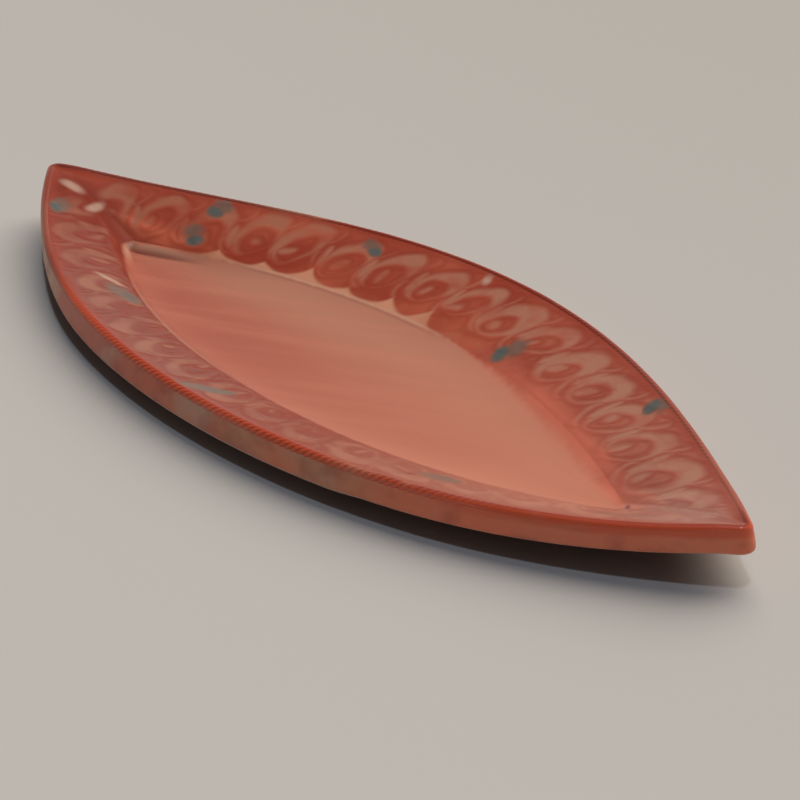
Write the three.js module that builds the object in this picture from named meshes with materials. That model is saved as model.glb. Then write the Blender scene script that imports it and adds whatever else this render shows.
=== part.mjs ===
// Slab-built serving platter: a pointed oval with a sunk well, a sloping rim and a rope edge.
// Millimetres, +Z up. The origin is on the table under the middle of the platter,
// +X runs along its length and -Y is its near side.

import * as THREE from 'three';

// Outline of the rim slabs
const LENGTH = 403; // from point to point
const NEAR_WIDTH = 74.2; // from the line through the points to the middle of the near side
const FAR_WIDTH = 78; // the far side bows out further
const NEAR_FULLNESS = 0.22; // bow of the near side beyond a parabola, as a share of its height
const FAR_FULLNESS = -0.15; // the far side runs straighter towards its points
const POINT_INNER_RADIUS = 0.8; // rounding of each point, measured behind the rope edge

// Rim slabs
const RIM_RISE = 10.2; // from the lip up to the top of the rope edge, at mid-side
const POINT_LIFT_HEIGHT = 6.4; // how far the points turn up above mid-side
const POINT_LIFT_POWER = 5; // a higher power keeps the turn-up closer to the points
const SIDE_HEIGHT = 9.6; // outer face, rope edge included
const SIDE_LEAN_WIDTH = 1.8; // the face is cut square to the slab, so its foot stands out this far
const UNDER_ROUND_WIDTH = 1; // eased lower outer corner
const UNDER_CLEARANCE = 0.6; // the rim slabs hang this far above the table at the seam

// Well
const WELL_LENGTH = 290; // from lip to lip
const WELL_WIDTH = 81.6;
const WELL_SHIFT_X = -0.3; // the well sits a little off the line through the points and its middle
const WELL_SHIFT_Y = -2.7;
const WELL_NEAR_FULLNESS = 0.2;
const WELL_FAR_FULLNESS = -0.07;
const FLOOR_THICKNESS = 5;
const FLOOR_POINT_RADIUS = 1.5; // rounding of the floor's two points
const LIP_HEIGHT = 1.8; // soft step from the floor up to the rim
const LIP_WIDTH = 2.2; // width of that step
const LIP_ROUND_WIDTH = 0.9; // easing of the lip's top corner

// Luted seams
const SEAM_WIDTH = 5; // width of the bevel that the rim slabs share with the floor slab
const SLIP_THICKNESS = 0.3; // film of slip between two luted pieces

// Rope edge
const ROPE_THICKNESS = 3.2;
const ROPE_OVERHANG = 0.3; // how far the cord stands out past the rim's side
const ROPE_PROUD_HEIGHT = 1; // how far the cord stands up above the rim
const ROPE_PITCH = 3.7; // from strand to strand along the edge
const ROPE_STRANDS = 4; // strands that wind round the cord
const ROPE_GROOVE_DEPTH = 0.45; // depth between strands
const ROPE_END_RUN = 24; // length over which the lay straightens at each end
const NEAR_SMOOTH_RUN = 75; // the near cord is wiped smooth next to the right point
const SMOOTH_RUN = 12; // shorter smooth stretch at the other cord ends

// Fineness of the facets
const SIDE_STEPS = 44;
const POINT_STEPS = 3;
const POINT_SHARE = 0.04; // share of each side's parameter that swings round one point
const ROPE_ARC_STEPS = 5;

const NEAR = {
  sign: -1,
  width: NEAR_WIDTH,
  fullness: NEAR_FULLNESS,
  wellFullness: WELL_NEAR_FULLNESS,
  smoothRuns: [SMOOTH_RUN, NEAR_SMOOTH_RUN],
};
const FAR = {
  sign: 1,
  width: FAR_WIDTH,
  fullness: FAR_FULLNESS,
  wellFullness: WELL_FAR_FULLNESS,
  smoothRuns: [SMOOTH_RUN, SMOOTH_RUN],
};

const SEAM_GAP = SLIP_THICKNESS / Math.sin(Math.atan2(FLOOR_THICKNESS, SEAM_WIDTH));
const LIP_TOP = FLOOR_THICKNESS + LIP_HEIGHT;
const LIP_RADIUS = FLOOR_POINT_RADIUS + SEAM_GAP + LIP_WIDTH;
const ROPE_RADIUS = ROPE_THICKNESS / 2;
const ROPE_INSET = ROPE_RADIUS - ROPE_OVERHANG;
const ROPE_SEAT = ROPE_THICKNESS - ROPE_OVERHANG + SLIP_THICKNESS;
const POINT_RADIUS = ROPE_SEAT + POINT_INNER_RADIUS;

// Each outline is a sharp leaf, its core, swept outwards by a radius that rounds the points
const OUTLINE = {
  centre: new THREE.Vector2(0, (NEAR_WIDTH - FAR_WIDTH) / 2),
  halfLength: LENGTH / 2 - POINT_RADIUS,
  halfWidth: (side) => side.width - POINT_RADIUS,
  radius: POINT_RADIUS,
  fullness: (side) => side.fullness,
};
const LIP = {
  centre: new THREE.Vector2(WELL_SHIFT_X, WELL_SHIFT_Y).add(OUTLINE.centre),
  halfLength: WELL_LENGTH / 2 - LIP_RADIUS,
  halfWidth: () => WELL_WIDTH / 2 - LIP_RADIUS,
  radius: LIP_RADIUS,
  fullness: (side) => side.wellFullness,
};

// Angle of the mitre between the two rim slabs at the left (-1) or right (+1) point
function mitreAngle(end) {
  const reach = new THREE.Vector2(end * (OUTLINE.halfLength - LIP.halfLength), 0);
  return reach.add(OUTLINE.centre).sub(LIP.centre).angle();
}

// Angle part of the way from one direction to another, by the short way round
function swing(from, to, share) {
  const turn = Math.atan2(Math.sin(to - from), Math.cos(to - from));
  return from + turn * share;
}

// A place on one side of a leaf, where t runs from the left mitre (0) to the right one (1)
function placeOn(leaf, side, t) {
  const along = THREE.MathUtils.clamp((2 * t - 1) / (1 - 2 * POINT_SHARE), -1, 1);
  const fullness = leaf.fullness(side);
  const height = side.sign * leaf.halfWidth(side);
  const square = along * along;
  const bow = height * (1 - square) * (1 + fullness * square);
  const slope = height * 2 * along * (fullness - 1 - 2 * fullness * square);
  const core = new THREE.Vector2(leaf.halfLength * along, bow).add(leaf.centre);
  const sideNormal = Math.atan2(side.sign * leaf.halfLength, -side.sign * slope);
  const past = Math.max(POINT_SHARE - t, t - (1 - POINT_SHARE), 0) / POINT_SHARE;
  const normal = swing(sideNormal, mitreAngle(Math.sign(along)), past);
  const at = (outset, z) => {
    const reach = leaf.radius + outset;
    return new THREE.Vector3(core.x + reach * Math.cos(normal), core.y + reach * Math.sin(normal), z);
  };
  return { along, at };
}

// Height of the top of the rope edge
function edgeTop(along) {
  return LIP_TOP + RIM_RISE + POINT_LIFT_HEIGHT * Math.abs(along) ** POINT_LIFT_POWER;
}

// Parameters of the sections along one side: close together round the points, even between them
function sectionParameters() {
  const left = Array.from({ length: POINT_STEPS }, (_, i) => (POINT_SHARE * i) / POINT_STEPS);
  const run = 1 - 2 * POINT_SHARE;
  const middle = Array.from({ length: SIDE_STEPS + 1 }, (_, i) => POINT_SHARE + (run * i) / SIDE_STEPS);
  const right = left.map((t) => 1 - t).reverse();
  return [...left, ...middle, ...right];
}

// Closed solid through a row of rings with equal point counts; flatten maps a ring to its plane
function loft(rings, flatten) {
  const ringSize = rings[0].length;
  const lastRing = (rings.length - 1) * ringSize;
  const points = rings.flat();
  const triangles = [];
  for (let ring = 0; ring < lastRing; ring += ringSize) {
    for (let i = 0; i < ringSize; i++) {
      const a = ring + i;
      const b = ring + ((i + 1) % ringSize);
      triangles.push([a, b, b + ringSize], [a, b + ringSize, a + ringSize]);
    }
  }
  for (const start of [0, lastRing]) {
    const contour = points.slice(start, start + ringSize).map(flatten);
    for (const face of THREE.ShapeUtils.triangulateShape(contour, [])) {
      const corners = face.toSorted((p, q) => p - q).map((corner) => start + corner);
      triangles.push(start === 0 ? corners.reverse() : corners);
    }
  }
  const sixVolumes = triangles.map(([a, b, c]) => points[a].dot(points[b].clone().cross(points[c])));
  const outward = sixVolumes.reduce((sum, value) => sum + value) > 0;
  const geometry = new THREE.BufferGeometry().setFromPoints(points);
  geometry.setIndex(triangles.flatMap((face) => (outward ? face : face.toReversed())));
  geometry.computeVertexNormals();
  return geometry;
}

const inPlan = (point) => new THREE.Vector2(point.x, point.y);
const inMitre = (point) => new THREE.Vector2(point.x, point.z);

// Flat floor of the well, with a bevelled edge that is wider underneath
function floorSlab() {
  const ring = (outset, z) => {
    const parameters = sectionParameters();
    const near = parameters.map((t) => placeOn(LIP, NEAR, t).at(outset, z));
    const far = parameters.map((t) => placeOn(LIP, FAR, t).at(outset, z));
    return [...near, ...far.slice(1, -1).reverse()];
  };
  const topOutset = -LIP_WIDTH - SEAM_GAP;
  return loft([ring(topOutset + SEAM_WIDTH, 0), ring(topOutset, FLOOR_THICKNESS)], inPlan);
}

// Sloping rim slab: lip, rebate for the cord, leaning side, underside and bevel on the floor slab
function rimSlab(side) {
  const sections = sectionParameters().map((t) => {
    const edge = placeOn(OUTLINE, side, t);
    const lip = placeOn(LIP, side, t);
    const top = edgeTop(edge.along);
    const ledge = top - ROPE_THICKNESS - SLIP_THICKNESS;
    const seamOutset = SEAM_WIDTH * (1 - UNDER_CLEARANCE / FLOOR_THICKNESS) - LIP_WIDTH;
    const lipDrop = LIP_HEIGHT * (LIP_ROUND_WIDTH / LIP_WIDTH) ** 2;
    return [
      lip.at(0, LIP_TOP),
      edge.at(-ROPE_SEAT, top - ROPE_PROUD_HEIGHT),
      edge.at(-ROPE_SEAT, ledge),
      edge.at(0, ledge),
      edge.at(SIDE_LEAN_WIDTH, top - SIDE_HEIGHT + UNDER_ROUND_WIDTH),
      edge.at(SIDE_LEAN_WIDTH - UNDER_ROUND_WIDTH, top - SIDE_HEIGHT),
      lip.at(seamOutset, UNDER_CLEARANCE),
      lip.at(-LIP_WIDTH, FLOOR_THICKNESS),
      lip.at(-LIP_ROUND_WIDTH, LIP_TOP - lipDrop),
    ];
  });
  return loft(sections, inMitre);
}

// Centre line of the cord, from mitre to mitre
class RopeLine extends THREE.Curve {
  constructor(side) {
    super();
    this.side = side;
    this.arcLengthDivisions = 800;
  }

  getPoint(t) {
    const edge = placeOn(OUTLINE, this.side, t);
    return edge.at(-ROPE_INSET, edgeTop(edge.along) - ROPE_RADIUS);
  }
}

// Twisted cord in the rim's rebate: each ring leans along a strand's crest or a groove,
// and its flat back and underside stay square for the seat
function ropeEdge(side) {
  const line = new RopeLine(side);
  const length = line.getLength();
  const ringCount = 2 * Math.round(length / ROPE_PITCH);
  const lead = -side.sign * ROPE_STRANDS * ROPE_PITCH;
  const ease = (share) => THREE.MathUtils.smoothstep(share, 0, 1);
  const ledgeTurn = -90; // degrees round the cord from straight outwards
  const wallTurn = 180;
  const middleTurn = (ledgeTurn + wallTurn) / 2;
  const turns = Array.from({ length: ROPE_ARC_STEPS + 1 }, (_, step) =>
    THREE.MathUtils.lerp(ledgeTurn, wallTurn, step / ROPE_ARC_STEPS),
  );
  const rings = Array.from({ length: ringCount + 1 }, (_, i) => {
    const run = (length * i) / ringCount;
    const rest = length - run;
    const lean = lead * ease(run / ROPE_END_RUN) * ease(rest / ROPE_END_RUN);
    const lay = ease(run / side.smoothRuns[0]) * ease(rest / side.smoothRuns[1]);
    const groove = i % 2 === 0 ? ROPE_GROOVE_DEPTH * lay : 0;
    const place = (turn, across, up) => {
      const shifted = run + (lean * (turn - middleTurn)) / 360;
      const share = THREE.MathUtils.clamp(shifted / length, 0, 1);
      const edge = placeOn(OUTLINE, side, line.getUtoTmapping(share));
      return edge.at(across - ROPE_INSET, edgeTop(edge.along) - ROPE_RADIUS + up);
    };
    const round = turns.map((turn) => {
      const seated = turn === ledgeTurn || turn === wallTurn;
      const radius = seated ? ROPE_RADIUS : ROPE_RADIUS - groove;
      const angle = THREE.MathUtils.degToRad(turn);
      return place(turn, radius * Math.cos(angle), radius * Math.sin(angle));
    });
    const seatCorner = place(middleTurn, -ROPE_RADIUS, -ROPE_RADIUS);
    return [...round, seatCorner];
  });
  return loft(rings, inMitre);
}

const salmonGlaze = new THREE.MeshStandardMaterial({ color: 0xb86a50, roughness: 0.35, metalness: 0 });
const brickGlaze = new THREE.MeshStandardMaterial({ color: 0x9a4838, roughness: 0.3, metalness: 0 });
const redGlaze = new THREE.MeshStandardMaterial({ color: 0x8c3020, roughness: 0.3, metalness: 0 });

function piece(name, geometry, material) {
  const mesh = new THREE.Mesh(geometry, material);
  mesh.name = name;
  return mesh;
}

const platter = new THREE.Group();
platter.add(
  piece('floor_slab', floorSlab(), salmonGlaze),
  piece('near_rim_slab', rimSlab(NEAR), brickGlaze),
  piece('far_rim_slab', rimSlab(FAR), brickGlaze),
  piece('near_rope_edge', ropeEdge(NEAR), redGlaze),
  piece('far_rope_edge', ropeEdge(FAR), redGlaze),
);

export default platter;
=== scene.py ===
import math
from collections import namedtuple

import bmesh
import bpy
import numpy as np
from mathutils import Matrix, Vector


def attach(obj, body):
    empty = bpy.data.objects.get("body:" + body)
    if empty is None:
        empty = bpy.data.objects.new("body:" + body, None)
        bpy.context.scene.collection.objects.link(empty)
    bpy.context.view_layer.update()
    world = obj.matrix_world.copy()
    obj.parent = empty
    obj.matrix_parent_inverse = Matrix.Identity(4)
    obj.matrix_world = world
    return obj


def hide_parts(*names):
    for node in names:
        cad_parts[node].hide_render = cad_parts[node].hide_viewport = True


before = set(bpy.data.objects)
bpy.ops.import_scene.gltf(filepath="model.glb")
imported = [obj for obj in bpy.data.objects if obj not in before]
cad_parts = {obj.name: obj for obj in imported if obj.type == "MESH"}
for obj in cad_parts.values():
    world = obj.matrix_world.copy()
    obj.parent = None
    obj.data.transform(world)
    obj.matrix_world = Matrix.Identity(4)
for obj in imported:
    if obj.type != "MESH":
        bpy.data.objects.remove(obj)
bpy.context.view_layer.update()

# A slab-built serving platter in glazed clay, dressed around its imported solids.
# Sizes are in millimetres until a mesh is made. +X runs along the platter, -Y is its near side.
MM = 0.001
NEAR, FAR = -1, 1

# Sizes that the solids have too
LENGTH = 403
SIDE_WIDTH = {NEAR: 74.2, FAR: 78}
FULLNESS = {NEAR: 0.22, FAR: -0.15}
POINT_RADIUS = 4
POINT_SHARE = 0.04
RIM_RISE = 10.2
POINT_LIFT_POWER = 5
SIDE_HEIGHT = 9.6
SIDE_LEAN = 1.8
WELL_LENGTH = 290
WELL_WIDTH = 81.6
WELL_SHIFT = (-0.3, -2.7)
WELL_FULLNESS = {NEAR: 0.2, FAR: -0.07}
FLOOR_THICKNESS = 5
LIP_HEIGHT = 1.8
LIP_RADIUS = 4.12
LIP_TOP = FLOOR_THICKNESS + LIP_HEIGHT
ROPE_RADIUS = 1.6
ROPE_OVERHANG = 0.3
ROPE_INSET = ROPE_RADIUS - ROPE_OVERHANG
ROPE_STRANDS = 4

# Hand-made unevenness past what the solids have. Places along a side run from -1 to 1
POINT_LIFT_HEIGHT = 6.8
POINT_EASE = 0.95  # place past which the lift levels out
TIP_TUCK = 0.4  # the edge's top draws in this far at the right point
TUCK_STRETCH = (0.9, 1)
FLUSH_STRETCH = (0.5, 0.9)  # where the cord is wiped flush with the rim
MITRE_REACH = 16
MITRE_FILL = 2.4
FLOOR_SINK = 1.1
FLOOR_SINK_RUN = (60, 130)
FLOOR_LIFT = 1.3
FLOOR_LIFT_RUN = (85, 142)
FLOOR_WAVE = 0.05
SIDE_DEEPENING = 0.8
DEEPER_SIDE = (-0.6, -0.35, 0.36, 0.44)
EXTRA_LEAN = 0.5
LEFT_UPRIGHT = 1.7  # how much of the lean is lost at the left point
LEFT_STRETCH = (-0.45, -0.8)
RIGHT_UPRIGHT = 1.2
RIGHT_STRETCH = (0.5, 0.95)

# Slope from the well up to the lip, and the crisper step that takes its place at the left corner
SLOPE_WIDTH = {NEAR: 18, FAR: 26}
SLOPE_POWER = 3
SLOPE_SHARE = 0.8  # share of the well's half width that a slope may take
SLOPE_GAP = 0.6  # what it leaves free at the very points
STEP_WIDTH = 4.6
STEP_POWER = 1.8
STEP_FADE = {NEAR: (-0.99, -0.9), FAR: (-0.94, -0.74)}
FOOT_COVER = 0.04  # the slope lies this far above the floor
FOOT_DIP = 0.1  # and its very foot lies this much lower
FLOOR_TUCK = 0.6  # the floor's edge stops this far inside the lip

# Places on the rim: outset, drop below the top, and how far the flush end moves them out and up
SHOULDER = ((-1.6, 1.3, 0.3, 0.4), (-0.1, 1.75, 0.2, 0.56), (0.25, 2.3, 0.16, 0.72))
SIDE_TOP = (0.3, 2.8, 0.1, 0.72)
ROPE_JOIN = (-2.4, 0.45, 0.8, 0.38)

# Side and underside of the rim
SIDE_BELLY = 0.15
CORNER_RADIUS = 1.2
HEEL_INSET = 1.3
SEAM_OUTSET = 2.4
TOE_INSET = 0.8
TOE_HEIGHT = 0.4

# Twisted cord, finer than in the solids
ROPE_PITCH = 2.9
ROPE_GROOVE = 0.42
ROPE_FILL = 0.1  # thickness of its glaze
ROPE_SWELL = 0.06
STRAND_POWER = 0.75
STRAND_START = 45
STRAND_DRIFT = 0.12
LAY_DEPTH = {NEAR: 1, FAR: 0.45}
LAY_SWING = 0.18
SMOOTH_RUNS = {NEAR: (205, 130), FAR: (14, 70)}  # lengths wiped smooth at the left and right ends
SMOOTH_SHARE = 0.4  # share of such a length that has no strands at all

# Fineness of the meshes
SIDE_STEPS = 720
POINT_STEPS = 10
TRACK_STEPS = (2000, 40)
LIP_COLUMNS = 26
LIP_SPACING = 1.8
TOP_COLUMNS = 68
SIDE_COLUMNS = 10
CORNER_COLUMNS = 5
UNDER_COLUMNS = 12
FLOOR_STEPS = 300
FLOOR_COLUMNS = 48
ROPE_LINE_STEPS = (3000, 120)
ROPE_STEP = 0.3
ROPE_SPOKES = 28
SHARP_ANGLE = 48


class Leaf:
    """A pointed oval: a sharp leaf, its core, swept outwards by a radius that rounds the points."""

    def __init__(self, centre, length, widths, radius, fullness):
        self.centre = np.array(centre, float)
        self.half_length = length / 2 - radius
        self.half_width = {sign: width - radius for sign, width in widths.items()}
        self.radius = radius
        self.fullness = fullness


OUTLINE = Leaf(
    (0, (SIDE_WIDTH[NEAR] - SIDE_WIDTH[FAR]) / 2),
    LENGTH,
    SIDE_WIDTH,
    POINT_RADIUS,
    FULLNESS,
)
LIP = Leaf(
    OUTLINE.centre + WELL_SHIFT,
    WELL_LENGTH,
    {NEAR: WELL_WIDTH / 2, FAR: WELL_WIDTH / 2},
    LIP_RADIUS,
    WELL_FULLNESS,
)


def mitre_angle(end):
    """Direction of the mitre between the rims at the left (-1) or right (+1) point."""
    across = OUTLINE.centre - LIP.centre
    reach = end * (OUTLINE.half_length - LIP.half_length)
    return math.atan2(across[1], across[0] + reach)


class Places:
    """Places along one side of a leaf, where t runs from the left mitre (0) to the right one (1)."""

    def __init__(self, leaf, sign, t):
        self.along = np.clip((2 * t - 1) / (1 - 2 * POINT_SHARE), -1, 1)
        square = self.along**2
        fullness = leaf.fullness[sign]
        height = sign * leaf.half_width[sign]
        bow = height * (1 - square) * (1 + fullness * square)
        slope = height * 2 * self.along * (fullness - 1 - 2 * fullness * square)
        side_angle = np.arctan2(sign * leaf.half_length, -sign * slope)
        mitre = np.where(self.along < 0, mitre_angle(-1), mitre_angle(1))
        past = np.maximum(POINT_SHARE - t, t - 1 + POINT_SHARE).clip(0) / POINT_SHARE
        angle = side_angle + past * ((mitre - side_angle + math.pi) % (2 * math.pi) - math.pi)
        self.radius = leaf.radius
        self.core = np.stack([leaf.half_length * self.along, bow], -1) + leaf.centre
        self.direction = np.stack([np.cos(angle), np.sin(angle)], -1)

    def at(self, outset, height):
        """Points this far outside the leaf, as one row of columns for each place."""
        outset, height = np.atleast_2d(outset), np.atleast_2d(height)
        shape = np.broadcast_shapes(outset.shape, height.shape, (len(self.core), 1))
        reach = np.broadcast_to(self.radius + outset, shape)
        plan = self.core[:, None] + reach[..., None] * self.direction[:, None]
        height = np.broadcast_to(height, shape)
        return np.concatenate([plan, height[..., None]], -1)


def side_parameters(steps, point_steps):
    """Values of t that are close together round the points and even between them."""
    point = np.linspace(0, POINT_SHARE, point_steps, endpoint=False)
    middle = np.linspace(POINT_SHARE, 1 - POINT_SHARE, steps + 1)
    return np.concatenate([point, middle, 1 - point[::-1]])


def smooth(value, low, high):
    """Eased step from 0 at low to 1 at high."""
    share = np.clip((value - low) / (high - low), 0, 1)
    return share * share * (3 - 2 * share)


def plateau(value, start, full, wane, end):
    """Eased stretch that rises from 0 at start to 1 at full and falls back from wane to end."""
    return smooth(value, start, full) * (1 - smooth(value, wane, end))


def bell(value, middle, spread):
    """Rounded bump that is 1 at the middle."""
    return np.exp(-(((value - middle) / spread) ** 2))


def ripple(x, y, length, seed):
    """Gentle uneven waves from -1 to 1, of about this length."""
    random = np.random.default_rng(seed)
    waves = 6
    total = 0
    for _ in range(waves):
        angle, phase = random.uniform(0, 2 * math.pi, 2)
        wave = 2 * math.pi / (length * random.uniform(0.7, 1.5))
        total = total + np.sin(wave * (x * math.cos(angle) + y * math.sin(angle)) + phase)
    return total / waves


class Track:
    """The outline of one rim, by the run along it."""

    def __init__(self, sign):
        self.line = Places(OUTLINE, sign, side_parameters(*TRACK_STEPS)).at(0, 0)[:, 0, :2]
        steps = np.linalg.norm(np.diff(self.line, axis=0), axis=1)
        self.run = np.concatenate([[0], np.cumsum(steps)])
        self.tangent = np.gradient(self.line, axis=0)
        self.tangent /= np.linalg.norm(self.tangent, axis=1)[:, None]

    def on_line(self, run, rows):
        """Rows of points or directions at these runs."""
        return np.stack([np.interp(run, self.run, rows[:, axis]) for axis in range(2)], -1)

    def locate(self, plan):
        """Run along the outline of its nearest place, and the distance in from there."""
        run = np.interp(plan[:, 0], self.line[:, 0], self.run)
        for _ in range(5):
            offset = plan - self.on_line(run, self.line)
            run = run + (offset * self.on_line(run, self.tangent)).sum(-1)
        return run, np.linalg.norm(plan - self.on_line(run, self.line), axis=-1)


# Curls wiped through the wet slip with a finger, in rim places: run along the outline, minus inset
CURL_PITCH = 23.4
CURL_COUNT = 17
FIRST_CURL = 32
CURL_INSET = 17.2
CURL_TILT = -22
CURL_TURN = -22  # added to the tilt along this run
CURL_TURN_RUN = (60, 330)
CURL_SEED = {NEAR: 29, FAR: 5}
SLIP_DRIFT = 1.3
CURL_RAGGED = 0.5
GAP_LIMIT = 6.0

# An oval mark, and the oval core inside it that stays red
Mark = namedtuple("Mark", "place lean radii core shift", defaults=(None, (0, 0)))
WISP = (Mark((0, 0), 0, (9, 5), (8.2, 4.4), (0.8, 2.6)),)


def curl_marks(random):
    """One leaning drop-shaped curl: a thick head, a thin tail round its core and two short wipes."""
    radii = random.uniform((8.4, 13.2), (9.8, 15))
    core = random.uniform((4.6, 7.2), (6.2, 9.6))
    shift = random.uniform((1.4, -4.6), (3, -2.4))
    wipe = random.uniform((-1, -9), (3, -4))
    return (
        Mark((0, 0), 0, radii, core, shift),
        Mark(wipe, random.uniform(-30, 40), random.uniform((1.8, 2.6), (3, 5))),
        Mark((-7, -8.5), random.uniform(20, 50), (2.6, 7)),
    )


def turned(offset, degrees):
    """The same offsets seen from axes turned by this angle."""
    lean = math.radians(degrees)
    along = offset[:, 0] * math.cos(lean) + offset[:, 1] * math.sin(lean)
    across = offset[:, 1] * math.cos(lean) - offset[:, 0] * math.sin(lean)
    return np.stack([along, across], -1)


def oval_gap(offset, radii):
    """Distance outside an oval, below zero within it."""
    radii = np.array(radii)
    reach = np.linalg.norm(offset / radii, axis=-1)
    slope = np.linalg.norm(offset / radii**2, axis=-1).clip(1e-4)
    return reach * (reach - 1) / slope


def motif_gap(places, motif, size):
    """Distance outside the wiped marks of one motif, for places measured from its middle."""
    gaps = []
    for mark in motif:
        offset = turned(places / size - mark.place, mark.lean)
        gap = oval_gap(offset, mark.radii)
        if mark.core is not None:
            gap = np.maximum(gap, -oval_gap(offset - mark.shift, mark.core))
        gaps.append(gap)
    return size * np.minimum.reduce(gaps)


def wiped_gap(places, sign):
    """Distance outside the nearest wiped mark of one rim, up to a few millimetres."""
    random = np.random.default_rng(CURL_SEED[sign])
    motifs = []
    for index in range(CURL_COUNT):
        run = FIRST_CURL + CURL_PITCH * index + random.uniform(-2, 2)
        tilt = CURL_TILT + CURL_TURN * smooth(run, *CURL_TURN_RUN) + random.uniform(-9, 9)
        centre = np.array([run, -CURL_INSET + random.uniform(-1.5, 1.5)])
        motifs.append((curl_marks(random), centre, tilt, random.uniform(0.9, 1.08)))
        for side in (-1, 1):
            beside = centre + np.array([CURL_PITCH / 2, side * random.uniform(7, 10)])
            motifs.append((WISP, beside, side * random.uniform(40, 80), random.uniform(0.5, 0.8)))
    run, inset = places.T
    drift = [ripple(run, inset, length=14, seed=seed) for seed in (41, 42)]
    places = places + SLIP_DRIFT * np.stack(drift, -1)
    nearest = np.full(len(places), GAP_LIMIT)
    for motif, centre, tilt, size in motifs:
        close = np.flatnonzero((np.abs(places - centre) < CURL_PITCH).all(-1))
        gap = motif_gap(turned(places[close] - centre, tilt), motif, size)
        nearest[close] = np.minimum(nearest[close], gap)
    return nearest


# Ovals of colour: place, length, width, tilt. The spots and specks have places in plan
Oval = namedtuple("Oval", "place length width tilt")
BRIGHT_SPOTS = (
    Oval((-182.5, -5), 14, 6, 16),
    Oval((-167, -4.3), 11, 6, 97),
    Oval((-112, -34), 16, 3.5, 22),
    Oval((-8.5, 70), 9, 4.5, 120),
)
GLAZE_SPECKS = (
    Oval((147.4, -3.3), 5, 2.2, 140),
    Oval((89.5, -49), 4, 1.6, 60),
    Oval((155.5, -6.6), 3.4, 1.2, 80),
)
# Paler, pinker slip at the right corner of the well, brightened as painted light over the shade the rims
# lie in there
RIGHT_CORNER_LIT_OVAL = Oval((143, 0), 36, 11, -3)
# Painted light: brighter red laid in the hollow at the left corner of the well, to lift the shade that
# falls there
LEFT_HOLLOW_LIT_OVAL = Oval((-140, 5), 42, 16, 8)
# A thin grey wash on the near rim, next to the right point, in rim places
GREY_WASH = Oval((396, -14), 34, 8, 3)
WASH_COVER = 0.25
# Dabs of grey-blue slip have rim places, each with the offset of its smear
DABS = {
    FAR: (
        (Oval((78, -10), 10, 7, -25), (2, 4)),
        (Oval((77, -27), 9, 7, 5), (-3, 5)),
        (Oval((156, -12), 9, 6, -20), (-4, 3)),
        (Oval((258.5, -33), 12, 8, -50), (2, 6)),
        (Oval((337, -7), 11, 7, -50), (1, 4)),
    ),
    NEAR: (
        (Oval((37, -6), 12, 7, 0), (-3, -2)),
        (Oval((114, -25), 16, 8, -10), (-4, 3)),
        (Oval((217, -13), 20, 8, -60), (-3, 4)),
        (Oval((326, -22), 16, 8, 10), (-3, 2)),
    ),
}
DAB_UNEVEN = 0.15
SMEAR_GROWTH = 1.25
SMEAR_COVER = 0.45


def oval_reach(places, oval, shift=(0, 0), growth=1):
    """Distance from the middle of an oval, as a share of the way to its edge."""
    offset = turned(places - np.array(oval.place) - np.array(shift), oval.tilt)
    return np.linalg.norm(offset / (np.array([oval.length, oval.width]) * growth / 2), axis=-1)


def spot_cover(plan, ovals):
    """Soft-edged ovals, from 0 to 1."""
    return np.maximum.reduce([1 - smooth(oval_reach(plan, oval), 0.35, 1.2) for oval in ovals])


def dab_cover(places, dabs):
    """How thickly the grey-blue slip lies: below a half for the smear, up to 1 in the dab."""
    cover = np.zeros(len(places))
    uneven = DAB_UNEVEN * ripple(places[:, 0], places[:, 1], length=4, seed=31)
    for dab, shift in dabs:
        smear = oval_reach(places, dab, shift, SMEAR_GROWTH) + 1.5 * uneven
        cover = np.maximum(cover, SMEAR_COVER * (1 - smooth(smear, 0.35, 1.25)))
        cover = np.maximum(cover, 1 - smooth(oval_reach(places, dab) + uneven, 0.25, 1.25))
    return cover


# Stretches of the rims by run: where a look starts, is full, wanes and ends
BARE_LIP = (70, 95, 185, 240)
SOFT_LIP = (230, 320, 375, 405)
# Stretches with a pale line along the lip, painted as the highlight on its ridge, with painted shade
# just under it
LIP_LINE = {NEAR: (70, 100, 160, 220), FAR: (95, 120, 205, 235)}
LIP_LINE_STRENGTH = {NEAR: 0.6, FAR: 1}
# Where the red slip of the rims starts next to the well
SCALLOP_HEIGHT = 6.5
SCALLOP_SWING = 7
SCALLOP_POWER = 2.2
SLIP_RAGGED = {NEAR: 0.4, FAR: 1.2}
FRINGE_WIDTH = 1.5
SOFT_FRINGE_WIDTH = 6
# The near rim's curls are weaker, and most of all towards the right
NEAR_STRENGTH = 0.95
NEAR_FADING = 0.4
NEAR_FADING_RUN = (150, 330)
# Relief of the rim's top
RIDGE_HEIGHT = 0.1
WIPE_DEPTH = 0.1
TOP_SWELL = 0.12


def scallop(run):
    """Height above the lip at which the red slip of the far rim starts."""
    place = (run - FIRST_CURL) / CURL_PITCH
    between = np.abs(place - np.round(place)) * 2
    height = SCALLOP_HEIGHT + SCALLOP_SWING * ripple(run, 0, length=45, seed=6)
    return height * between**SCALLOP_POWER + SLIP_RAGGED[FAR] * ripple(run, 0, length=17, seed=5)


def edge_top(along):
    """Height of the top of the rope edge, which levels out round the points."""
    way = np.abs(along)
    way = way - (way - POINT_EASE).clip(0) ** 2 / (2 * (1 - POINT_EASE))
    return (LIP_TOP + RIM_RISE + POINT_LIFT_HEIGHT * way**POINT_LIFT_POWER)[:, None]


def floor_height(plan):
    """Height of the well's floor: a little uneven, sunk at its left point, lifted at its right one."""
    x, y = plan[..., 0], plan[..., 1]
    sunk = FLOOR_SINK * smooth(-x, *FLOOR_SINK_RUN)
    lifted = FLOOR_LIFT * smooth(x, *FLOOR_LIFT_RUN)
    return FLOOR_THICKNESS - sunk + lifted + FLOOR_WAVE * ripple(x, y, length=45, seed=4)


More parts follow.
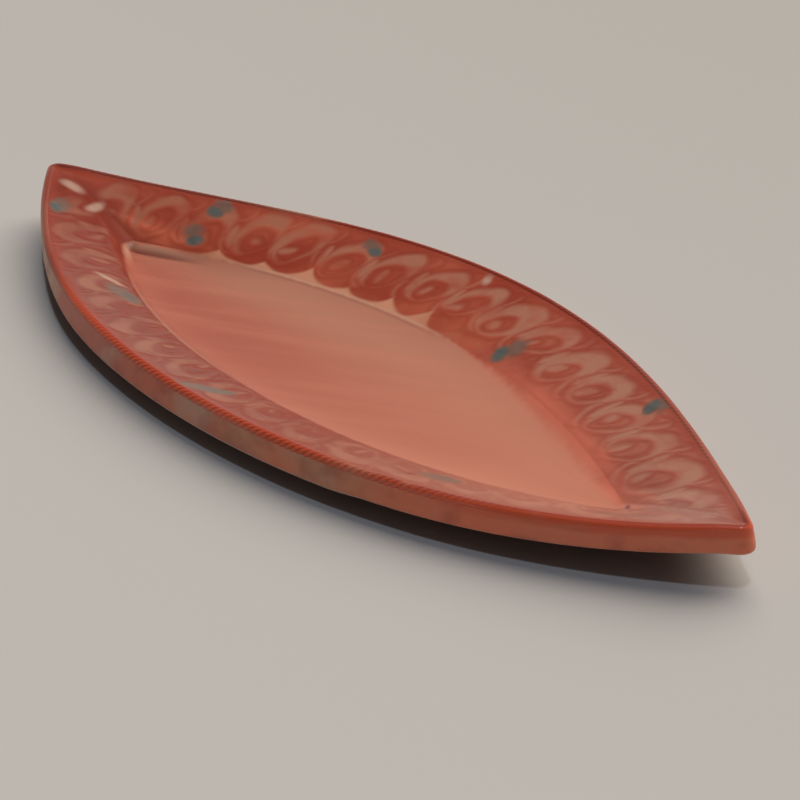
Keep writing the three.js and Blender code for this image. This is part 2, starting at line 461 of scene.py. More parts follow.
def lip_slope(sign, lip):
    """Width of the slope down to the well, and how far the step takes its place."""
    half_width = LIP.half_width[sign] * (1 - lip.along**2)
    room = LIP_RADIUS - SLOPE_GAP + SLOPE_SHARE * half_width
    step = 1 - smooth(lip.along, *STEP_FADE[sign])
    return np.minimum(SLOPE_WIDTH[sign], room)[:, None], step[:, None]


def side_height(along):
    """Height of the side, which is cut a little deeper along its middle."""
    return SIDE_HEIGHT + SIDE_DEEPENING * plateau(along, *DEEPER_SIDE)[:, None]


def side_lean(along):
    """How far the foot of the side stands out past its top."""
    left = LEFT_UPRIGHT * smooth(along, *LEFT_STRETCH)
    right = RIGHT_UPRIGHT * smooth(along, *RIGHT_STRETCH)
    return SIDE_LEAN + (EXTRA_LEAN - left - right)[:, None]


def tip_tuck(along):
    """How far the top of the edge draws in at the right point."""
    return TIP_TUCK * smooth(along, *TUCK_STRETCH)[:, None]


def under_cord(places, along):
    """Outset and drop of places on the rim, moved out and up where the cord is wiped flush with it."""
    outset, drop, flush_outset, flush_rise = np.array(places).T
    flush = smooth(along, *FLUSH_STRETCH)[:, None]
    return outset + flush * flush_outset, drop - flush * flush_rise


def mitre_axes(plan, end):
    """Place along the left (-1) or right (+1) mitre, from its point, and distance from its line."""
    offset = plan - OUTLINE.centre - np.array([end * OUTLINE.half_length, 0])
    way = np.array([math.cos(mitre_angle(end)), math.sin(mitre_angle(end))])
    return offset @ way, np.abs(offset[..., 1] * way[0] - offset[..., 0] * way[1])


def mitre_distance(plan):
    """Distance in plan from the line of the nearer mitre."""
    return np.where(plan[..., 0] < 0, mitre_axes(plan, -1)[1], mitre_axes(plan, 1)[1])


def mitre_hollow(strip, t):
    """Height that turns the tight crease between the rims into a wide round hollow."""
    half = len(t) // 2
    past = (1 - t[:half, None] / POINT_SHARE).clip(0)
    total = np.zeros(strip.shape[:2])
    for end in (-1, 1):
        rows = strip[::-end][:half]
        run, away = mitre_axes(rows[..., :2], end)
        clear = np.argmax(away[:, TOP_COLUMNS // 2] > MITRE_REACH)
        brink_height = np.interp(run[clear], run[POINT_STEPS], rows[POINT_STEPS, :, 2])
        brink_away = np.interp(run[clear], run[POINT_STEPS], away[POINT_STEPS])
        grade = (rows[clear, :, 2] - brink_height) / (away[clear] - brink_away)
        fill = MITRE_FILL * (1 - away * grade / (2 * MITRE_FILL)).clip(0) ** 2
        sine = away[POINT_STEPS] / POINT_RADIUS
        tight = grade / sine * POINT_RADIUS * (1 - np.cos(np.arcsin(sine) * past))
        total[::-end][:half] = fill - tight
    return total


def new_mesh(name, rings, materials, attributes, by_column):
    """Closed skin through a row of rings, with named values and a material for each column."""
    count, size = rings.shape[:2]
    index = np.arange(count * size).reshape(count, size)
    following = np.roll(index, -1, axis=1)
    quads = np.stack([index[:-1], following[:-1], following[1:], index[1:]], -1).reshape(-1, 4)
    faces = quads.tolist() + [index[0][::-1].tolist(), index[-1].tolist()]
    mesh = bpy.data.meshes.new(name)
    mesh.from_pydata((rings.reshape(-1, 3) * MM).tolist(), [], faces)
    for key, values in attributes.items():
        layer = mesh.attributes.new(key, "FLOAT", "POINT")
        layer.data.foreach_set("value", np.ascontiguousarray(values, np.float32).ravel())
    for material in materials:
        mesh.materials.append(material)
    picked = np.concatenate([np.tile(by_column, count - 1), by_column[-1:], by_column[-1:]])
    mesh.polygons.foreach_set("material_index", picked.astype(np.int32))
    mesh.shade_smooth()
    work = bmesh.new()
    work.from_mesh(mesh)
    bmesh.ops.recalc_face_normals(work, faces=work.faces)
    work.to_mesh(mesh)
    work.free()
    mesh.set_sharp_from_angle(angle=math.radians(SHARP_ANGLE))
    return mesh


def new_piece(mesh, node):
    """A piece of the platter that stands for one solid."""
    piece = bpy.data.objects.new(mesh.name, mesh)
    bpy.context.scene.collection.objects.link(piece)
    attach(piece, "root")
    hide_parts(node)


def lip_strip(sign, lip):
    """Rim from its foot in the well up to the lip, and the distance outside the lip, below zero here."""
    width, step = lip_slope(sign, lip)
    reach = -width * np.linspace(1, 0, LIP_COLUMNS, endpoint=False) ** LIP_SPACING
    strip = lip.at(reach, 0)
    foot = floor_height(strip) + FOOT_COVER - FOOT_DIP * smooth(-reach / width, 0.75, 1)
    crisp = 1 - (-reach / np.minimum(STEP_WIDTH, width)).clip(0, 1) ** STEP_POWER
    rise = (1 + reach / width) ** SLOPE_POWER
    strip[..., 2] = foot + (LIP_TOP - foot) * (rise + (crisp - rise) * step)
    return strip, reach


def top_strip(t, edge, lip):
    """Sloping top of the rim from the lip to the cord, and the distance outside the lip."""
    outset, drop = under_cord([ROPE_JOIN], edge.along)
    inner = lip.at(0, LIP_TOP)
    outer = edge.at(outset - tip_tuck(edge.along), edge_top(edge.along) - drop)
    share = np.linspace(0, 1, TOP_COLUMNS)[None]
    strip = inner + (outer - inner) * share[..., None]
    reach = np.linalg.norm((outer - inner)[..., :2], axis=-1) * share
    strip[..., 2] += plateau(share, 0, 0.4, 0.75, 1) * mitre_hollow(strip, t)
    return strip, reach


def side_strips(edge, lip):
    """Rim outside the cord: shoulder, leaning side, rounded corner and underside, back to its seat."""
    top = edge_top(edge.along)
    tuck = tip_tuck(edge.along)
    lean = side_lean(edge.along)
    foot = top - side_height(edge.along)
    outset, drop = under_cord(SHOULDER, edge.along)
    shoulder = edge.at(outset - tuck, top - drop)

    outset, drop = under_cord([SIDE_TOP], edge.along)
    down = np.linspace(0, 1, SIDE_COLUMNS)[None]
    start = top - drop
    outset = outset + (lean - outset) * down + SIDE_BELLY * np.sin(math.pi * down)
    side = edge.at(outset - tuck * (1 - down), start + (foot + CORNER_RADIUS - start) * down)

    bend = np.radians(np.linspace(15, 75, CORNER_COLUMNS))
    inward, lift = 1 - np.cos(bend), 1 - np.sin(bend)
    corner = edge.at(lean - CORNER_RADIUS * inward, foot + CORNER_RADIUS * lift)

    back = np.linspace(0, 1, UNDER_COLUMNS)[None, :, None]
    heel = edge.at(lean - HEEL_INSET, foot)
    toe = lip.at(SEAM_OUTSET - TOE_INSET, TOE_HEIGHT)
    return [shoulder, side, corner, heel * (1 - back) + toe * back]


def rim_marks(sign, plan, reach, lip):
    """Named values for the colours of the rim's lip and top, and the height of its relief."""
    shape = reach.shape
    flat = plan.reshape(-1, 2)
    run, inset = Track(sign).locate(flat)
    places = np.stack([run, -inset], -1)
    gap = wiped_gap(places, sign) + CURL_RAGGED * ripple(run, inset, length=7, seed=3)
    dab = dab_cover(places, DABS[sign])
    if sign == NEAR:
        dab = np.maximum(dab, WASH_COVER * spot_cover(places, [GREY_WASH]))
    run, inset, gap, dab = (values.reshape(shape) for values in (run, inset, gap, dab))

    strength = smooth(mitre_distance(plan), 1, 7)
    bare = soft = np.zeros(shape)
    if sign == FAR:
        bare = (1 - smooth(reach - scallop(run), -1.4, 1.8)) * smooth(reach, -6, 0)
        bare = bare * plateau(run, *BARE_LIP)
        soft = plateau(run, *SOFT_LIP)
    else:
        strength = strength * (NEAR_STRENGTH - NEAR_FADING * smooth(run, *NEAR_FADING_RUN))
    wiped = np.maximum((1 - smooth(gap, -2.4, 0.7)) * strength, bare)
    ridge = bell(gap, 1.3, 1.26) * strength * (1 - bare)
    relief = RIDGE_HEIGHT * ridge - WIPE_DEPTH * wiped * (1 - bare)
    relief = relief + TOP_SWELL * ripple(run, inset, length=30, seed=8)
    slip_edge = reach + SLIP_RAGGED[sign] * ripple(run, inset, length=6, seed=9)
    fringe = FRINGE_WIDTH + SOFT_FRINGE_WIDTH * soft

    step = lip_slope(sign, lip)[1]
    line = LIP_LINE_STRENGTH[sign] * plateau(run, *LIP_LINE[sign])
    # darker slip along the top edge of the step, and painted shade at the step's foot
    step_dark_and_shade = 0.6 * bell(reach, 0.7, 0.8) + 0.35 * bell(reach, -STEP_WIDTH - 0.2, 0.9)
    return {
        "wiped": wiped,
        "ridge": ridge,
        "bare": bare,
        "dab": dab,
        "bright": spot_cover(flat, BRIGHT_SPOTS).reshape(shape),
        "speck": spot_cover(flat, GLAZE_SPECKS).reshape(shape),
        "right_corner_light": spot_cover(flat, [RIGHT_CORNER_LIT_OVAL]).reshape(shape),
        "left_hollow_light": spot_cover(flat, [LEFT_HOLLOW_LIT_OVAL]).reshape(shape),
        "well_share": 1 - smooth(slip_edge, -fringe, 0.6),
        # coral slip just beyond the soft lip, painted brighter to offset the shade of the slope there
        "coral_and_light": soft * bell(reach, 2, 6),
        # darker slip and painted shade round the step, and painted shade under the lip's pale line
        "lip_dark_and_shade": step * step_dark_and_shade + 0.4 * line * bell(reach, -1.8, 0.6),
        # pale step face where the glaze is thin, widened as painted light over its shade, and a pale
        # line painted as the lip's highlight
        "lip_pale_and_highlight": step * bell(reach, -STEP_WIDTH / 2, 1.5) + line * bell(reach, 0, 0.7),
        "inset": inset,
        "relief": strength * relief,
    }


def rim_mesh(name, sign, materials):
    """Sloping rim: lip, wiped and dabbed top, shoulder under the cord, leaning side and underside."""
    t = side_parameters(SIDE_STEPS, POINT_STEPS)
    edge = Places(OUTLINE, sign, t)
    lip = Places(LIP, sign, t)
    slope, slope_reach = lip_strip(sign, lip)
    top, top_reach = top_strip(t, edge, lip)
    strips = [slope, top, *side_strips(edge, lip)]
    rings = np.concatenate(strips, axis=1)
    reach = np.concatenate([slope_reach, top_reach], axis=1)
    marked = reach.shape[1]
    marks = rim_marks(sign, rings[:, :marked, :2], reach, lip)
    ends = plateau(np.linspace(0, 1, TOP_COLUMNS), 0, 0.05, 0.95, 1)
    rings[:, LIP_COLUMNS:marked, 2] += marks.pop("relief")[:, LIP_COLUMNS:] * ends
    plain = np.zeros((len(t), rings.shape[1] - marked))
    attributes = {key: np.concatenate([values, plain], axis=1) for key, values in marks.items()}
    columns = np.arange(rings.shape[1])
    attributes["below"] = (edge_top(edge.along) - rings[..., 2]) / side_height(edge.along)
    attributes["under"] = np.tile(columns >= len(columns) - UNDER_COLUMNS, (len(t), 1))
    return new_mesh(name, rings, materials, attributes, np.where(columns >= marked, 1, 0))


def floor_mesh(name, materials):
    """Floor of the well, whose edges lie hidden under the rims."""
    t = side_parameters(FLOOR_STEPS, POINT_STEPS)[1:-1]
    near, far = Places(LIP, NEAR, t), Places(LIP, FAR, t)
    share = np.linspace(0, 1, FLOOR_COLUMNS)[None, :, None]
    upper = near.at(-FLOOR_TUCK, 0) * (1 - share) + far.at(-FLOOR_TUCK, 0) * share
    upper[..., 2] = floor_height(upper)
    back = np.linspace(0, 1, UNDER_COLUMNS)[None, :, None]
    lower = far.at(SEAM_OUTSET, 0) * (1 - back) + near.at(SEAM_OUTSET, 0) * back
    rings = np.concatenate([upper, lower], axis=1)
    by_column = np.where(np.arange(rings.shape[1]) >= FLOOR_COLUMNS - 1, 1, 0)
    return new_mesh(name, rings, materials, {}, by_column)


def rope_lay(run, sign):
    """Depth of the strands along the cord, which is wiped smooth towards its ends."""
    lay = LAY_DEPTH[sign] * (1 - LAY_SWING + LAY_SWING * ripple(run, 0, length=60, seed=21))
    for way, smooth_run in zip((run, run[-1] - run), SMOOTH_RUNS[sign]):
        lay = lay * smooth(way, SMOOTH_SHARE * smooth_run, smooth_run)
    return lay[:, None]


def rope_mesh(name, sign, material):
    """Twisted cord along the rim's outer corner."""
    dense = side_parameters(*ROPE_LINE_STEPS)
    places = Places(OUTLINE, sign, dense)
    line = places.at(-ROPE_INSET, edge_top(places.along) - ROPE_RADIUS)[:, 0]
    runs = np.concatenate([[0], np.cumsum(np.linalg.norm(np.diff(line, axis=0), axis=1))])
    run = np.linspace(0, runs[-1], int(runs[-1] / ROPE_STEP))
    edge = Places(OUTLINE, sign, np.interp(run, runs, dense))
    turn = np.linspace(0, 360, ROPE_SPOKES, endpoint=False)[None]
    lead = -sign * ROPE_STRANDS * ROPE_PITCH
    phase = (run[:, None] - lead * (turn - STRAND_START) / 360) / ROPE_PITCH
    phase = phase + STRAND_DRIFT * ripple(run, 0, length=30, seed=17)[:, None]
    groove = rope_lay(run, sign) * (1 - np.abs(np.cos(math.pi * phase)) ** STRAND_POWER)
    swell = ROPE_SWELL * ripple(run, 0, length=22, seed=13)[:, None]
    radius = ROPE_RADIUS + ROPE_FILL - ROPE_GROOVE * groove + swell
    angle = np.radians(turn)
    outset = radius * np.cos(angle) - ROPE_INSET - tip_tuck(edge.along)
    rings = edge.at(outset, edge_top(edge.along) - ROPE_RADIUS + radius * np.sin(angle))
    front = np.tile(smooth(np.cos(angle), -0.2, 0.9), (len(run), 1))
    attributes = {"groove": groove, "front": front}
    return new_mesh(name, rings, [material], attributes, np.zeros(ROPE_SPOKES))


def srgb(red, green, blue):
    """Linear colour of a display colour given in steps of 255."""
    steps = np.array([red, green, blue]) / 255
    linear = np.where(steps <= 0.04045, steps / 12.92, ((steps + 0.055) / 1.055) ** 2.4)
    return (*linear.tolist(), 1.0)


class Nodes:
    """Short calls that add nodes to a material or world and join them up."""

    def __init__(self, owner):
        owner.use_nodes = True
        self.tree = owner.node_tree
        self.tree.nodes.clear()
        self.place = None

    def add(self, kind, inputs, **settings):
        """A new node; an input is a plain value or another node's output."""
        node = self.tree.nodes.new(kind)
        for name, value in settings.items():
            setattr(node, name, value)
        for name, value in inputs.items():
            if isinstance(value, bpy.types.NodeSocket):
                self.tree.links.new(value, node.inputs[name])
            else:
                node.inputs[name].default_value = value
        return node

    def attribute(self, name):
        """A value stored in the mesh."""
        return self.add("ShaderNodeAttribute", {}, attribute_name=name).outputs["Fac"]

    def position(self):
        """Place on the object, in metres."""
        if self.place is None:
            self.place = self.add("ShaderNodeTexCoord", {}).outputs["Object"]
        return self.place

    def axis(self, name):
        """One coordinate of the place on the object."""
        return self.add("ShaderNodeSeparateXYZ", {"Vector": self.position()}).outputs[name]

    def noise(self, scale, detail=3.0, stretch=(1, 1, 1), turn=0.0):
        """Cloudy value about one half, drawn out by the stretch along axes turned by this angle."""
        inputs = {"Vector": self.position(), "Scale": stretch, "Rotation": (0, 0, turn)}
        moved = self.add("ShaderNodeMapping", inputs, vector_type="TEXTURE").outputs[0]
        inputs = {"Vector": moved, "Scale": scale, "Detail": detail}
        return self.add("ShaderNodeTexNoise", inputs).outputs[0]

    def fade(self, value, start, end):
        """Eased step from 0 at start to 1 at end."""
        inputs = {"Value": value, "From Min": start, "From Max": end}
        node = self.add("ShaderNodeMapRange", inputs, interpolation_type="SMOOTHSTEP")
        return node.outputs[0]

    def along(self, start, end):
        """Eased step along the platter, between two places in millimetres."""
        return self.fade(self.axis("X"), start * MM, end * MM)

    def across(self, start, end):
        """Eased step across the platter, between two places in millimetres."""
        return self.fade(self.axis("Y"), start * MM, end * MM)

    def sum(self, first, second):
        """Two values added up."""
        return self.add("ShaderNodeMath", {0: first, 1: second}, operation="ADD").outputs[0]

    def times(self, first, second):
        """Two values multiplied."""
        return self.add("ShaderNodeMath", {0: first, 1: second}, operation="MULTIPLY").outputs[0]

    def scaled(self, value, low, high):
        """The value from 0 to 1 moved to run from low to high."""
        inputs = {"Value": value, "To Min": low, "To Max": high}
        return self.add("ShaderNodeMapRange", inputs).outputs[0]

    def mix(self, share, first, second):
        """Colour part of the way from the first to the second."""
        node = self.add("ShaderNodeMix", {0: share, 6: first, 7: second}, data_type="RGBA")
        return node.outputs[2]

    def paint(self, colour, tint, share, strength=1.0):
        """The colour with a tint laid over this share of it, at this strength."""
        return self.mix(self.times(share, strength), colour, tint)

    def bump(self, height, strength, distance):
        """Small relief, of this many millimetres at full strength."""
        inputs = {"Height": height, "Strength": strength, "Distance": distance * MM}
        return self.add("ShaderNodeBump", inputs).outputs[0]

    def glaze(self, colour, roughness, normal, coat):
        """Joins the finish to the material's output."""
        inputs = {
            "Base Color": colour,
            "Roughness": roughness,
            "Normal": normal,
            "IOR": 1.5,
            "Coat Weight": coat,
            "Coat Roughness": 0.12,
        }
        shader = self.add("ShaderNodeBsdfPrincipled", inputs)
        self.add("ShaderNodeOutputMaterial", {"Surface": shader.outputs[0]})


def new_material(name):
    """An empty material and the calls that fill it."""
    material = bpy.data.materials.new(name)
    return material, Nodes(material)


# Glaze colours, and the painted light and shade laid over them
DEEP_RED = srgb(158, 54, 30)
NEAR_RED = srgb(121, 35, 19)
BRICK_RED = srgb(186, 84, 54)
ROSE_RED = srgb(184, 105, 83)
NEAR_PALE = srgb(168, 104, 84)
STROKE_BROWN = srgb(172, 95, 65)
STROKE_TAN = srgb(188, 128, 102)
STROKE_SHADE_NEAR = srgb(162, 91, 65)
SPOT_PALE = srgb(200, 158, 134)
LIP_TAN = srgb(216, 146, 110)
LIP_CORAL_LIT = srgb(226, 116, 90)
LIP_PALE_HIGHLIGHT = srgb(205, 150, 120)
LIP_DARK_SHADE = srgb(122, 58, 42)
RIGHT_CORNER_LIT_PINK = srgb(212, 118, 90)
HOLLOW_LIGHT_RED = srgb(218, 108, 74)
DAB_GREY = srgb(124, 90, 74)
DAB_TEAL = srgb(92, 92, 86)
SPECK_BROWN = srgb(112, 24, 18)
SALMON = srgb(174, 90, 69)
SALMON_LIGHT = srgb(197, 120, 93)
SALMON_TAN = srgb(180, 119, 92)
SIDE_RED = srgb(200, 92, 58)
SIDE_RED_LIT = srgb(244, 120, 80)
SIDE_TAN = srgb(206, 142, 104)
SIDE_GREY = srgb(196, 158, 130)
EDGE_PALE = srgb(214, 184, 168)
UNDER_CLAY = srgb(150, 96, 74)
DARK_CLAY = srgb(128, 78, 60)
ROPE_RED = srgb(226, 88, 46)
ROPE_TOP_SHADE = srgb(168, 56, 30)
ROPE_GROOVE_SHADE = srgb(140, 45, 25)
ROPE_SHADE_RED = srgb(112, 42, 28)
ROPE_TAN = srgb(194, 124, 90)
ROPE_ROSE = srgb(158, 78, 60)
ROPE_BROWN = srgb(138, 60, 42)

# Direction of the brush in the well, in radians
BRUSH_TURN = 0.55


def well_colour(nodes):
    """Salmon slip brushed slantwise, browner along the far side and paler to the right."""
    cloud = nodes.noise(14)
    streaks = nodes.noise(150, 4, stretch=(14, 1, 1), turn=BRUSH_TURN)
    wavering = nodes.sum(nodes.axis("Y"), nodes.times(cloud, 30 * MM))
    right = nodes.times(nodes.along(-100, 130), nodes.scaled(cloud, 0.5, 1.1))
    colour = nodes.paint(SALMON, SALMON_TAN, nodes.fade(wavering, -5 * MM, 35 * MM), 0.9)
    colour = nodes.paint(colour, SALMON_LIGHT, right)
    return nodes.paint(colour, SALMON_LIGHT, nodes.fade(streaks, 0.4, 0.75), 0.4)


def tan_streaks(nodes):
    """Streaks where the glaze of the wiped cord is thin."""
    return nodes.times(nodes.fade(nodes.noise(50, stretch=(2.5, 2.5, 1)), 0.5, 0.62), 0.6)


def slip_colour(nodes, cloud, near):
    """Red slip of the rims, rosier to the right, with the paler strokes wiped through it."""
    right = nodes.along(-160, 170)
    red = nodes.mix(nodes.fade(cloud, 0.35, 0.7), DEEP_RED, BRICK_RED)
    rosy = nodes.times(nodes.along(-20, 150), nodes.scaled(cloud, 0.45, 1))
    red = nodes.paint(red, ROSE_RED, rosy)
    # darker red on the near rim, partly painted shade that offsets the far lamp's stronger light on it
    red = nodes.paint(red, NEAR_RED, near, 0.8)
    # painted light that lifts the shade in the left hollow of the well
    red = nodes.paint(red, HOLLOW_LIGHT_RED, nodes.attribute("left_hollow_light"), 0.75)
    red = nodes.paint(red, NEAR_PALE, nodes.times(near, nodes.along(20, 150)), 0.75)
    tan = nodes.mix(nodes.scaled(right, 0.15, 0.9), STROKE_BROWN, STROKE_TAN)
    # painted shade: the near rim's strokes darker, as the far lamp lights that rim more
    tan = nodes.paint(tan, STROKE_SHADE_NEAR, nodes.times(near, nodes.along(100, -50)))
    cover = nodes.times(nodes.attribute("wiped"), nodes.fade(nodes.noise(70), 0.2, 0.62))
    stipple = nodes.times(nodes.fade(nodes.noise(420, 2), 0.5, 0.75), nodes.times(right, 0.35))
    colour = nodes.paint(red, tan, nodes.sum(cover, stipple))
    return nodes.paint(colour, DEEP_RED, nodes.attribute("ridge"), 0.45)


def rim_material():
    """Red slip with wiped strokes, grey-blue dabs and a tan lip, under a clear gloss, with painted light
    and shade at the lip, on the near rim and at the well's corners.
    """
    material, nodes = new_material("rim_slip")
    cloud = nodes.noise(30, 4)
    near = nodes.across(16, -14)
    colour = slip_colour(nodes, cloud, near)
    colour = nodes.paint(colour, SPOT_PALE, nodes.attribute("bright"), 0.8)
    colour = nodes.paint(colour, LIP_TAN, nodes.attribute("bare"), 0.85)
    colour = nodes.paint(colour, DEEP_RED, nodes.fade(nodes.attribute("inset"), 7, 3), 0.6)
    # pinker slip and painted light at the right corner of the well, where the rims lie in shade
    colour = nodes.paint(colour, RIGHT_CORNER_LIT_PINK, nodes.attribute("right_corner_light"), 0.7)
    well = nodes.attribute("well_share")
    colour = nodes.paint(colour, well_colour(nodes), well)
    # coral slip, brightened as painted light over the slope's shade
    coral_and_light = nodes.times(nodes.attribute("coral_and_light"), nodes.scaled(nodes.noise(50), 0.3, 1.1))
    colour = nodes.paint(colour, LIP_CORAL_LIT, coral_and_light)
    # darker slip and painted shade round the step and under the lip line
    colour = nodes.paint(colour, LIP_DARK_SHADE, nodes.attribute("lip_dark_and_shade"), 0.8)
    # pale step face and painted light over its shade, and the lip's painted highlight
    colour = nodes.paint(colour, LIP_PALE_HIGHLIGHT, nodes.attribute("lip_pale_and_highlight"), 0.7)
    dab = nodes.attribute("dab")
    thin = nodes.times(near, nodes.along(-170, -140))
    teal = nodes.times(nodes.fade(dab, 0.45, 0.9), nodes.scaled(thin, 1, 0.45))
    colour = nodes.paint(colour, DAB_GREY, nodes.fade(dab, 0, 0.5))
    colour = nodes.paint(colour, DAB_TEAL, teal)
    colour = nodes.paint(colour, SPECK_BROWN, nodes.attribute("speck"))
    normal = nodes.bump(nodes.noise(160), 0.12, 0.4)
    roughness = nodes.sum(nodes.scaled(cloud, 0.24, 0.36), nodes.times(well, 0.1))
    nodes.glaze(colour, roughness, normal, nodes.scaled(well, 0.32, 0.08))
    return material


def well_material():
    """Brushed salmon slip of the floor."""
    material, nodes = new_material("well_slip")
    normal = nodes.bump(nodes.noise(300, stretch=(6, 1, 1), turn=BRUSH_TURN), 0.1, 0.3)
    roughness = nodes.scaled(nodes.noise(40, 2), 0.34, 0.46)
    nodes.glaze(well_colour(nodes), roughness, normal, 0.08)
    return material


def side_material():
    """Side and underside: thin red-brown glaze, painted brighter where the near side lies in shade, with
    a pale line painted along the lower corner.
    """
    material, nodes = new_material("side_glaze")
    left = nodes.along(110, 60)
    patches = nodes.times(nodes.fade(nodes.noise(16, 4), 0.45, 0.6), nodes.scaled(left, 0.2, 1))
    bloom = nodes.fade(nodes.noise(45, 4, stretch=(1, 1, 1.4)), 0.48, 0.68)
    mottle = nodes.noise(90, 5, stretch=(1.3, 1.3, 1))
    # painted light: the side's reds are brighter than its glaze, most to the right, to lift the shade of
    # the near side, which faces away from the broad lamp
    colour = nodes.mix(nodes.along(-100, 120), SIDE_RED, SIDE_RED_LIT)
    colour = nodes.paint(colour, SIDE_TAN, patches, 0.85)
    colour = nodes.paint(colour, SIDE_GREY, nodes.times(bloom, nodes.scaled(left, 0.1, 0.6)))
    colour = nodes.paint(colour, DEEP_RED, nodes.fade(mottle, 0.42, 0.7), 0.45)
    below = nodes.attribute("below")
    line = nodes.times(nodes.fade(below, 0.86, 0.94), nodes.scaled(nodes.noise(60), 0.4, 1.1))
    colour = nodes.paint(colour, EDGE_PALE, nodes.times(line, nodes.scaled(left, 0.4, 1)))
    ragged = nodes.sum(below, nodes.scaled(nodes.noise(70), -0.2, 0.2))
    band = nodes.times(nodes.fade(ragged, 0.48, 0.26), nodes.along(100, 150))
    wiped_cord = nodes.mix(tan_streaks(nodes), ROPE_RED, ROPE_TAN)
    colour = nodes.paint(colour, wiped_cord, band, 0.85)
    # the far side, which the broad lamp lights, is painted back towards plain brick red
    colour = nodes.paint(colour, BRICK_RED, nodes.across(-5, 20), 0.7)
    colour = nodes.paint(colour, UNDER_CLAY, nodes.attribute("under"))
    normal = nodes.bump(mottle, 0.15, 0.4)
    nodes.glaze(colour, nodes.scaled(mottle, 0.3, 0.45), normal, 0.1)
    return material


def clay_material():
    """Dry clay of the foot, wiped clean of glaze."""
    material, nodes = new_material("bare_clay")
    grit = nodes.noise(500, 4)
    colour = nodes.mix(nodes.fade(grit, 0.35, 0.7), UNDER_CLAY, DARK_CLAY)
    nodes.glaze(colour, nodes.scaled(grit, 0.7, 0.9), nodes.bump(grit, 0.3, 0.4), 0.0)
    return material


def rope_material():
    """Red glaze of the cord, dull towards the ends, with painted shade and light: deeper on its lit top,
    in its grooves and along the far cord, brighter on its shaded front.
    """
    material, nodes = new_material("rope_glaze")
    cloud = nodes.noise(28)
    front = nodes.attribute("front")
    # painted shade and light: the top, which the lamp lights, is painted deeper, the front, in shade,
    # brighter
    colour = nodes.mix(front, ROPE_TOP_SHADE, ROPE_RED)
    # painted shade over the lamp-lit top of the cord towards the right point
    right_top_shade = nodes.times(nodes.along(50, 120), nodes.scaled(front, 0.55, 0))
    colour = nodes.paint(colour, ROPE_SHADE_RED, right_top_shade)
    # painted shade along the far cord
    colour = nodes.paint(colour, ROPE_SHADE_RED, nodes.across(0, 50), 0.5)
    # painted shade in the grooves between the strands
    colour = nodes.paint(colour, ROPE_GROOVE_SHADE, nodes.fade(nodes.attribute("groove"), 0.2, 0.85), 0.8)
    colour = nodes.paint(colour, ROPE_TAN, nodes.fade(cloud, 0.58, 0.68), 0.7)
    colour = nodes.paint(colour, ROPE_TAN, nodes.times(tan_streaks(nodes), nodes.along(50, 100)))
    far_end = nodes.times(nodes.across(0, 8), nodes.along(40, 120))
    colour = nodes.paint(colour, ROPE_ROSE, far_end, 0.85)
    colour = nodes.paint(colour, ROPE_BROWN, nodes.along(-85, -130), 0.8)
    normal = nodes.bump(nodes.noise(300, 2), 0.1, 0.3)
    shine = nodes.sum(nodes.fade(nodes.noise(13, 2), 0.52, 0.62), nodes.along(188, 196))
    nodes.glaze(colour, nodes.scaled(cloud, 0.4, 0.55), normal, nodes.scaled(shine, 0.03, 0.6))
    return material


rim_materials = [rim_material(), side_material()]
floor_materials = [well_material(), clay_material()]
rope_glaze = rope_material()
for rim_name, rim_sign in (("near_rim", NEAR), ("far_rim", FAR)):
    new_piece(rim_mesh(rim_name, rim_sign, rim_materials), rim_name + "_slab")
new_piece(floor_mesh("floor", floor_materials), "floor_slab")
for rope_name, rope_sign in (("near_rope", NEAR), ("far_rope", FAR)):
    new_piece(rope_mesh(rope_name, rope_sign, rope_glaze), rope_name + "_edge")


# Stage: pale floor, a small lamp overhead, a broad one from the far side and a soft sky
TABLE_REACH = 4000
TABLE_NEAR = srgb(193, 186, 178)
TABLE_FAR = srgb(186, 178, 167)
HORIZON_PALE = srgb(190, 182, 172)
HORIZON_LIGHT = (0.084, 0.088, 0.1, 1)
ZENITH_LIGHT = (0.06, 0.06, 0.063, 1)
ZENITH_SEEN = (0.08, 0.08, 0.08, 1)
CAMERA_PLACE = (739.25, -577.96, 460.19)
CAMERA_YAW, CAMERA_PITCH, CAMERA_ROLL = -51.099, 26.628, -0.55
CAMERA_LENS = 127.4
CAMERA_SENSOR = 36
CAMERA_SHIFT = 0.002


def stage_floor():
    """Plain pale table top that takes the shadow."""
    mesh = bpy.data.meshes.new("table_top")
    reach = TABLE_REACH * MM
    corners = [(-reach, -reach, 0), (reach, -reach, 0), (reach, reach, 0), (-reach, reach, 0)]
    mesh.from_pydata(corners, [], [(0, 1, 2, 3)])
    table = bpy.data.objects.new("table_top", mesh)
    bpy.context.scene.collection.objects.link(table)
    material, nodes = new_material("table_paper")
    colour = nodes.mix(nodes.across(-500, 700), TABLE_NEAR, TABLE_FAR)
    inputs = {"Base Color": colour, "Roughness": 0.9, "Specular IOR Level": 0.1}
    shader = nodes.add("ShaderNodeBsdfPrincipled", inputs)
    nodes.add("ShaderNodeOutputMaterial", {"Surface": shader.outputs[0]})
    mesh.materials.append(material)


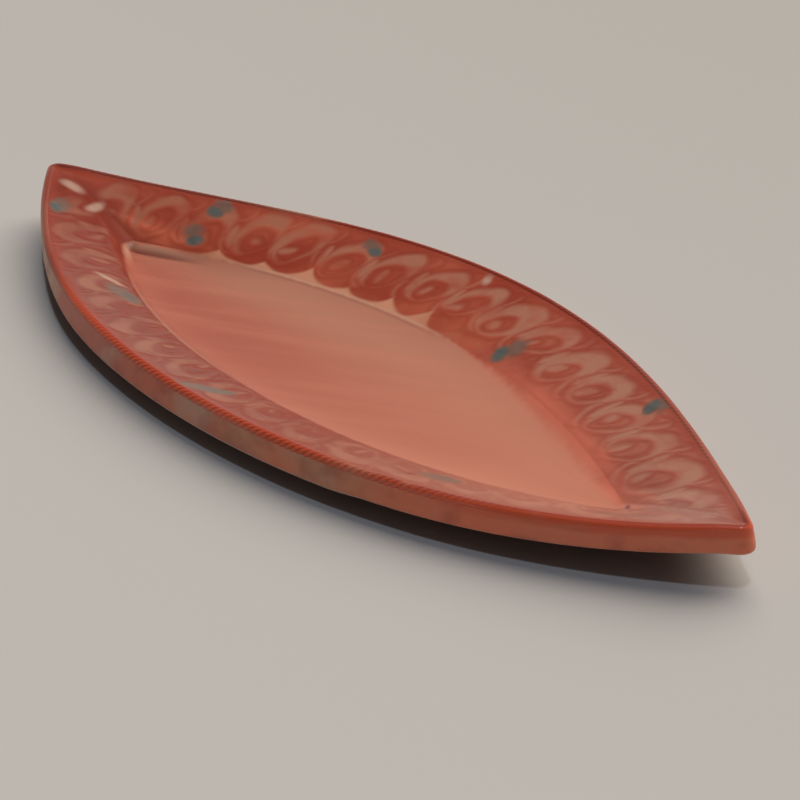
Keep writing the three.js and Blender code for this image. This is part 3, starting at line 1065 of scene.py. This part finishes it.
def soft_sky():
    """Light from above for the surfaces, and a pale horizon for what shines or looks past the table."""
    world = bpy.data.worlds.new("soft_sky")
    bpy.context.scene.world = world
    nodes = Nodes(world)
    path = nodes.add("ShaderNodeLightPath", {}).outputs
    shining = nodes.sum(path["Is Glossy Ray"], path["Is Transmission Ray"])
    seen = nodes.sum(path["Is Camera Ray"], shining)
    way = nodes.add("ShaderNodeTexCoord", {}).outputs["Generated"]
    up = nodes.add("ShaderNodeSeparateXYZ", {"Vector": way}).outputs["Z"]
    lit = nodes.mix(nodes.fade(up, 0.0, 1.0), HORIZON_LIGHT, ZENITH_LIGHT)
    shown = nodes.mix(nodes.fade(up, 0.15, 0.6), HORIZON_PALE, ZENITH_SEEN)
    colour = nodes.mix(seen, lit, shown)
    sky = nodes.add("ShaderNodeBackground", {"Color": colour, "Strength": 1.0})
    nodes.add("ShaderNodeOutputWorld", {"Surface": sky.outputs[0]})


def lamp(name, energy, colour, width, way, in_gloss):
    """Far-off round lamp that looks this many degrees wide from the platter."""
    light = bpy.data.lights.new(name, "SUN")
    light.energy = energy
    light.color = colour
    light.angle = math.radians(width)
    holder = bpy.data.objects.new(name, light)
    bpy.context.scene.collection.objects.link(holder)
    holder.rotation_euler = Vector(way).to_track_quat("Z", "Y").to_euler()
    holder.visible_glossy = in_gloss


def photo_camera():
    """Camera at the photograph's place, turned by its yaw, pitch and roll."""
    yaw, pitch, roll = (math.radians(turn) for turn in (CAMERA_YAW, CAMERA_PITCH, CAMERA_ROLL))
    level = Vector((math.sin(yaw), math.cos(yaw), 0))
    forward = level * math.cos(pitch) - Vector((0, 0, math.sin(pitch)))
    right = Vector((math.cos(yaw), -math.sin(yaw), 0))
    up = right.cross(forward)
    turned_right = right * math.cos(roll) + up * math.sin(roll)
    turned_up = up * math.cos(roll) - right * math.sin(roll)
    camera = bpy.data.cameras.new("photo_camera")
    camera.lens = CAMERA_LENS
    camera.sensor_width = CAMERA_SENSOR
    camera.shift_x = CAMERA_SHIFT
    holder = bpy.data.objects.new("photo_camera", camera)
    bpy.context.scene.collection.objects.link(holder)
    turn = Matrix((turned_right, turned_up, -forward)).transposed().to_4x4()
    holder.matrix_world = Matrix.Translation(Vector(CAMERA_PLACE) * MM) @ turn
    bpy.context.scene.camera = holder


stage_floor()
soft_sky()
lamp("high_lamp", energy=0.46, colour=(0.78, 0.97, 1.26), width=5, way=(0.2, -0.1, 1), in_gloss=True)
lamp("broad_lamp", energy=3.24, colour=(1.036, 1, 0.961), width=66, way=(-0.28, 0.85, 1), in_gloss=False)
photo_camera()
bpy.context.scene.view_settings.view_transform = "Standard"
